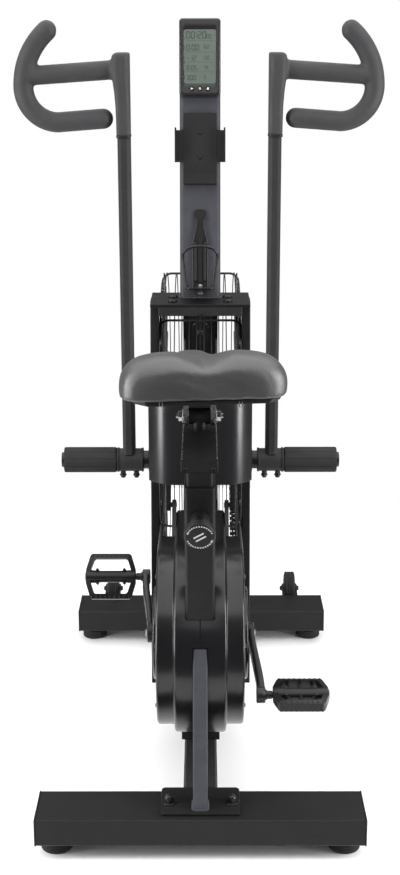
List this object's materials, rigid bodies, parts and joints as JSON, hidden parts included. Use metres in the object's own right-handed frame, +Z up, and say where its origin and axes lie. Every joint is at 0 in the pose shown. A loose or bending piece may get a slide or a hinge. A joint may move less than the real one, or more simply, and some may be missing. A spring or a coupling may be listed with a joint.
{
  "type": "air bike",
  "caption": "Fan-braked exercise bike with swinging arms, cranks, adjustable saddle and console mast on two floor bars",
  "frame": {"origin": "on the floor, at the middle of the bike's overall length and width", "axes": "+X to the rider's right, +Y forward from the saddle to the fan, +Z up"},
  "size_m": [0.6472, 1.172, 1.3852],
  "materials": {
    "powder_black": "satin textured powder coat",
    "powder_grey": "satin powder coat",
    "gloss_shell": "semi-gloss moulded plastic",
    "matte_plastic": "fine grained plastic",
    "foam_grip": "dense foam",
    "leatherette": "soft synthetic leather",
    "rubber": "moulded rubber",
    "bright_steel": "zinc plated",
    "black_steel": "gloss black coat",
    "console_shell": "gloss plastic"
  },
  "bodies": {
    "frame": {"rear_stabilizer": "powder_black", "front_stabilizer": "powder_black", "base_tube": "powder_black", "end_cap_rear_left": "matte_plastic", "end_cap_rear_right": "matte_plastic", "end_cap_front_left": "matte_plastic", "end_cap_front_right": "matte_plastic", "foot_rear_left": "rubber", "foot_rear_right": "rubber", "foot_front_left": "rubber", "foot_front_right": "rubber", "rear_brace": "powder_grey", "bottom_bracket_mount": "powder_black", "seat_tube": "powder_black", "upright_left": "powder_black", "upright_right": "powder_black", "front_leg_left": "powder_black", "front_leg_right": "powder_black", "mast_bridge": "powder_black", "console_mast": "powder_grey", "console_case": "console_shell", "phone_holder": "matte_plastic", "bottle_cage": "black_steel", "fan_guard_left": "black_steel", "fan_guard_right": "black_steel", "fan_guard_rim": "black_steel", "fan_axle": "bright_steel", "drive_chain": "black_steel", "pivot_axle": "bright_steel", "foot_peg_left": "rubber", "foot_peg_right": "rubber", "wind_deflector": "gloss_shell", "housing_left": "gloss_shell", "housing_right": "gloss_shell"},
    "crankset": {"crank_spindle": "bright_steel", "chainring": "black_steel", "crank_left": "black_steel", "crank_right": "black_steel"},
    "left_pedal": {"pedal_left": "matte_plastic"},
    "right_pedal": {"pedal_right": "matte_plastic"},
    "fan": {"fan_rotor": "black_steel"},
    "left_arm": {"arm_left": "powder_black", "grip_left": "foam_grip", "arm_lever_left": "black_steel"},
    "right_arm": {"arm_right": "powder_black", "grip_right": "foam_grip", "arm_lever_right": "black_steel"},
    "left_rod": {"link_rod_left": "bright_steel"},
    "right_rod": {"link_rod_right": "bright_steel"},
    "post": {"seat_post": "powder_black"},
    "slider": {"seat_slider": "powder_black"},
    "saddle": {"saddle_clamp": "bright_steel", "saddle_pad": "leatherette", "saddle_pan": "matte_plastic"},
    "knob": {"pop_pin_knob": "matte_plastic"},
    "left_button": {"console_button_left": "matte_plastic"},
    "middle_button": {"console_button_middle": "matte_plastic"},
    "right_button": {"console_button_right": "matte_plastic"},
    "left_wheel": {"transport_wheel_left": "rubber"},
    "right_wheel": {"transport_wheel_right": "rubber"}
  },
  "joints": [
    {"name": "crank_spin", "type": "hinge", "parent": "frame", "child": "crankset", "pos_m": [0, -0.231, 0.305], "axis": [-1, 0, 0], "continuous": true},
    {"name": "fan_spin", "type": "hinge", "parent": "frame", "child": "fan", "pos_m": [0, 0.272, 0.567], "axis": [-1, 0, 0], "continuous": true},
    {"name": "left_pedal_spin", "type": "hinge", "parent": "crankset", "child": "left_pedal", "pos_m": [-0.173, -0.06679, 0.349], "axis": [-1, 0, 0], "continuous": true},
    {"name": "right_pedal_spin", "type": "hinge", "parent": "crankset", "child": "right_pedal", "pos_m": [0.173, -0.39521, 0.261], "axis": [-1, 0, 0], "continuous": true},
    {"name": "left_arm_swing", "type": "hinge", "parent": "frame", "child": "left_arm", "pos_m": [-0.1315, -0.076, 0.588], "axis": [1, 0, 0], "range_deg": [-12.9, 11.3]},
    {"name": "right_arm_swing", "type": "hinge", "parent": "frame", "child": "right_arm", "pos_m": [0.1315, -0.076, 0.588], "axis": [1, 0, 0], "range_deg": [-11.3, 12.9]},
    {"name": "left_rod_swing", "type": "hinge", "parent": "left_arm", "child": "left_rod", "pos_m": [-0.0495, -0.07474, 0.49801], "axis": [1, 0, 0], "range_deg": [-14.6, 16.6]},
    {"name": "right_rod_swing", "type": "hinge", "parent": "right_arm", "child": "right_rod", "pos_m": [0.0495, -0.07726, 0.49801], "axis": [1, 0, 0], "range_deg": [-16.6, 14.6]},
    {"name": "seat_height", "type": "slide", "parent": "frame", "child": "post", "axis": [0, -0.2747, 0.9615], "range_m": [-0.02, 0.18]},
    {"name": "seat_fore_aft", "type": "slide", "parent": "post", "child": "slider", "axis": [0, 1, 0], "range_m": [-0.028, 0.08]},
    {"name": "saddle_tilt", "type": "hinge", "parent": "slider", "child": "saddle", "pos_m": [0, -0.411, 0.764], "axis": [1, 0, 0], "range_deg": [-12, 12]},
    {"name": "pin_pull", "type": "slide", "parent": "frame", "child": "knob", "axis": [0, -0.9615, -0.2747], "range_m": [0, 0.008], "stiffness_N_per_m": 900, "springref_m": -0.006},
    {"name": "left_button_press", "type": "slide", "parent": "frame", "child": "left_button", "axis": [0, 0.9823, -0.1874], "range_m": [0, 0.001], "stiffness_N_per_m": 400, "springref_m": -0.0005},
    {"name": "middle_button_press", "type": "slide", "parent": "frame", "child": "middle_button", "axis": [0, 0.9823, -0.1874], "range_m": [0, 0.001], "stiffness_N_per_m": 400, "springref_m": -0.0005},
    {"name": "right_button_press", "type": "slide", "parent": "frame", "child": "right_button", "axis": [0, 0.9823, -0.1874], "range_m": [0, 0.001], "stiffness_N_per_m": 400, "springref_m": -0.0005},
    {"name": "left_wheel_spin", "type": "hinge", "parent": "frame", "child": "left_wheel", "pos_m": [-0.21, 0.535, 0.08], "axis": [1, 0, 0], "continuous": true},
    {"name": "right_wheel_spin", "type": "hinge", "parent": "frame", "child": "right_wheel", "pos_m": [0.21, 0.535, 0.08], "axis": [1, 0, 0], "continuous": true}
  ],
  "couplings": [
    {"joint": "fan_spin", "follows": "crank_spin", "ratio": 3.2},
    {"joint": "right_arm_swing", "follows": "left_arm_swing", "ratio": -1},
    {"joint": "left_rod_swing", "follows": "left_arm_swing", "ratio": -1.28},
    {"joint": "right_rod_swing", "follows": "left_arm_swing", "ratio": 1.28}
  ]
}
